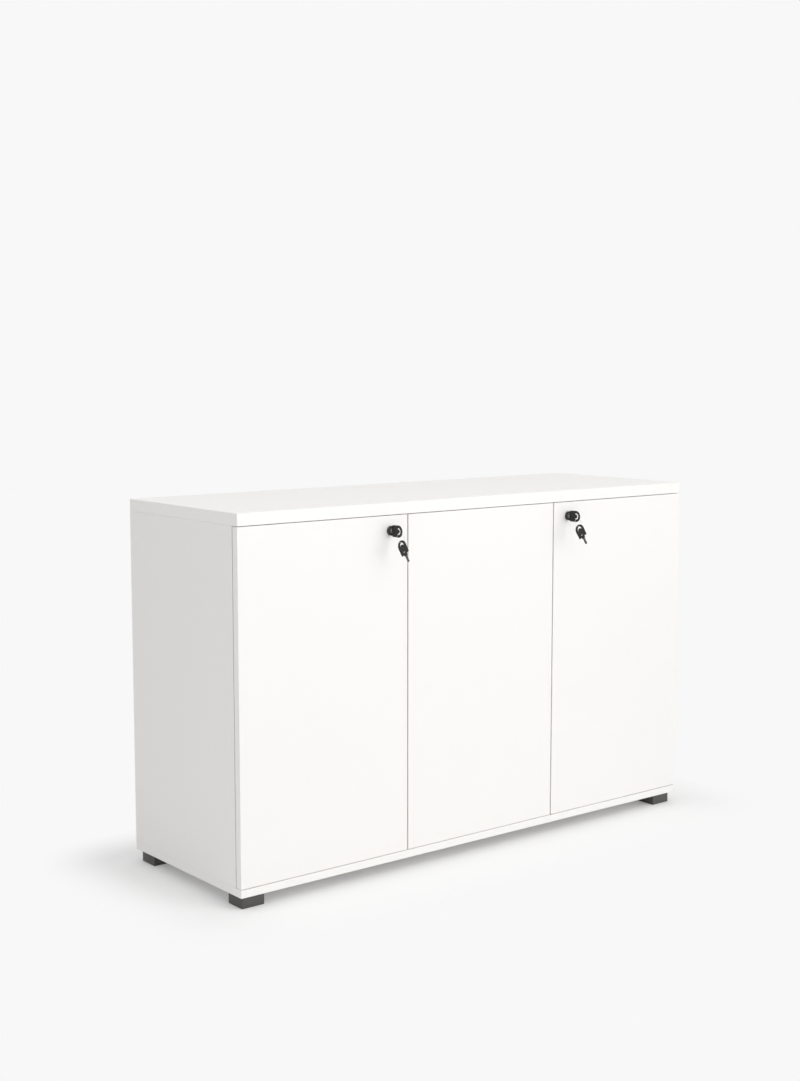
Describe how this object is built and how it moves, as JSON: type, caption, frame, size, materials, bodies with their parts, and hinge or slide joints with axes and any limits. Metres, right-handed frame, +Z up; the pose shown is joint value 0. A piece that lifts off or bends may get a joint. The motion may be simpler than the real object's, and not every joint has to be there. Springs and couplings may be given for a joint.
{
  "type": "office credenza",
  "caption": "Low white office credenza on black block feet, with flush doors on concealed hinges, cam locks with keys, an inside bolt and adjustable shelves.",
  "frame": {"origin": "on the floor, under the middle of the whole width and of the whole depth, hanging keys included", "axes": "+X to the right seen from the front, +Y to the back, +Z up"},
  "size_m": [1.2, 0.455, 0.75],
  "materials": {
    "white_board": "matt white laminate on board",
    "foot_plastic": "moulded, lightly textured",
    "hinge_steel": "nickel plated",
    "lock_black": "satin black",
    "lock_steel": "dark satin nickel",
    "key_plastic": "moulded black",
    "ring_wire": "bright wire"
  },
  "bodies": {
    "carcass": {"top_panel": "white_board", "bottom_panel": "white_board", "left_side_panel": "white_board", "right_side_panel": "white_board", "partition": "white_board", "back_panel": "white_board", "left_shelf": "white_board", "right_shelf": "white_board", "left_side_front_shelf_pin": "hinge_steel", "left_side_rear_shelf_pin": "hinge_steel", "partition_front_shelf_pin": "hinge_steel", "partition_rear_shelf_pin": "hinge_steel", "right_side_front_shelf_pin": "hinge_steel", "right_side_rear_shelf_pin": "hinge_steel", "front_left_foot": "foot_plastic", "rear_left_foot": "foot_plastic", "front_right_foot": "foot_plastic", "rear_right_foot": "foot_plastic", "left_upper_hinge_arm": "hinge_steel", "left_lower_hinge_arm": "hinge_steel", "middle_upper_hinge_arm": "hinge_steel", "middle_lower_hinge_arm": "hinge_steel", "right_upper_hinge_arm": "hinge_steel", "right_lower_hinge_arm": "hinge_steel", "left_strike_plate": "hinge_steel", "right_strike_plate": "hinge_steel"},
    "left_door": {"left_door": "white_board", "left_upper_hinge_cup": "hinge_steel", "left_lower_hinge_cup": "hinge_steel", "left_lock_housing": "lock_black"},
    "left_hinge_links": {"left_upper_hinge_link": "hinge_steel", "left_lower_hinge_link": "hinge_steel"},
    "middle_door": {"middle_door": "white_board", "middle_upper_hinge_cup": "hinge_steel", "middle_lower_hinge_cup": "hinge_steel", "middle_door_bolt_guide": "foot_plastic"},
    "middle_hinge_links": {"middle_upper_hinge_link": "hinge_steel", "middle_lower_hinge_link": "hinge_steel"},
    "right_door": {"right_door": "white_board", "right_upper_hinge_cup": "hinge_steel", "right_lower_hinge_cup": "hinge_steel", "right_lock_housing": "lock_black"},
    "right_hinge_links": {"right_upper_hinge_link": "hinge_steel", "right_lower_hinge_link": "hinge_steel"},
    "left_lock": {"left_lock_plug": "lock_steel", "left_lock_cam": "hinge_steel"},
    "left_key": {"left_key_blade": "lock_steel", "left_key_bow": "key_plastic"},
    "left_key_ring": {"left_key_ring": "ring_wire"},
    "left_spare_key": {"left_spare_key_blade": "lock_steel", "left_spare_key_bow": "key_plastic"},
    "right_lock": {"right_lock_plug": "lock_steel", "right_lock_cam": "hinge_steel"},
    "right_key": {"right_key_blade": "lock_steel", "right_key_bow": "key_plastic"},
    "right_key_ring": {"right_key_ring": "ring_wire"},
    "right_spare_key": {"right_spare_key_blade": "lock_steel", "right_spare_key_bow": "key_plastic"},
    "middle_bolt": {"middle_door_bolt": "hinge_steel"}
  },
  "joints": [
    {"name": "left_door_swing", "type": "hinge", "parent": "carcass", "child": "left_door", "pos_m": [-0.593, -0.16646, 0.3835], "axis": [0, 0, -1], "range_deg": [0, 110]},
    {"name": "left_hinge_links_turn", "type": "hinge", "parent": "carcass", "child": "left_hinge_links", "pos_m": [-0.56599, -0.16096, 0.3835], "axis": [0, 0, -1], "range_deg": [-43.6, 0]},
    {"name": "middle_door_swing", "type": "hinge", "parent": "carcass", "child": "middle_door", "pos_m": [-0.1915, -0.16646, 0.3835], "axis": [0, 0, -1], "range_deg": [0, 110]},
    {"name": "middle_hinge_links_turn", "type": "hinge", "parent": "carcass", "child": "middle_hinge_links", "pos_m": [-0.16449, -0.16096, 0.3835], "axis": [0, 0, -1], "range_deg": [-43.6, 0]},
    {"name": "right_door_swing", "type": "hinge", "parent": "carcass", "child": "right_door", "pos_m": [0.593, -0.16646, 0.3835], "axis": [0, 0, 1], "range_deg": [0, 110]},
    {"name": "right_hinge_links_turn", "type": "hinge", "parent": "carcass", "child": "right_hinge_links", "pos_m": [0.56599, -0.16096, 0.3835], "axis": [0, 0, 1], "range_deg": [-43.6, 0]},
    {"name": "left_lock_turn", "type": "hinge", "parent": "left_door", "child": "left_lock", "pos_m": [-0.2433, -0.16946, 0.695], "axis": [0, 1, 0], "range_deg": [0, 90]},
    {"name": "left_key_pull", "type": "slide", "parent": "left_lock", "child": "left_key", "axis": [0, -1, 0], "range_m": [0, 0.022]},
    {"name": "left_key_ring_hang", "type": "hinge", "parent": "left_key", "child": "left_key_ring", "pos_m": [-0.2433, -0.19682, 0.686], "axis": [0, 1, 0], "range_deg": [-90, 0]},
    {"name": "left_spare_key_swing", "type": "hinge", "parent": "left_key_ring", "child": "left_spare_key", "pos_m": [-0.2433, -0.20584, 0.67366], "axis": [1, 0, 0], "range_deg": [-20, 44]},
    {"name": "right_lock_turn", "type": "hinge", "parent": "right_door", "child": "right_lock", "pos_m": [0.2433, -0.16946, 0.695], "axis": [0, -1, 0], "range_deg": [0, 90]},
    {"name": "right_key_pull", "type": "slide", "parent": "right_lock", "child": "right_key", "axis": [0, -1, 0], "range_m": [0, 0.022]},
    {"name": "right_key_ring_hang", "type": "hinge", "parent": "right_key", "child": "right_key_ring", "pos_m": [0.2433, -0.19682, 0.686], "axis": [0, -1, 0], "range_deg": [-90, 0]},
    {"name": "right_spare_key_swing", "type": "hinge", "parent": "right_key_ring", "child": "right_spare_key", "pos_m": [0.2433, -0.20584, 0.67366], "axis": [1, 0, 0], "range_deg": [-20, 44]},
    {"name": "middle_bolt_slide", "type": "slide", "parent": "middle_door", "child": "middle_bolt", "axis": [0, 0, 1], "range_m": [0, 0.013]}
  ],
  "couplings": [
    {"joint": "left_hinge_links_turn", "follows": "left_door_swing", "ratio": -0.39567},
    {"joint": "middle_hinge_links_turn", "follows": "middle_door_swing", "ratio": -0.39567},
    {"joint": "right_hinge_links_turn", "follows": "right_door_swing", "ratio": -0.39567},
    {"joint": "left_key_ring_hang", "follows": "left_lock_turn", "ratio": -1},
    {"joint": "right_key_ring_hang", "follows": "right_lock_turn", "ratio": -1}
  ]
}
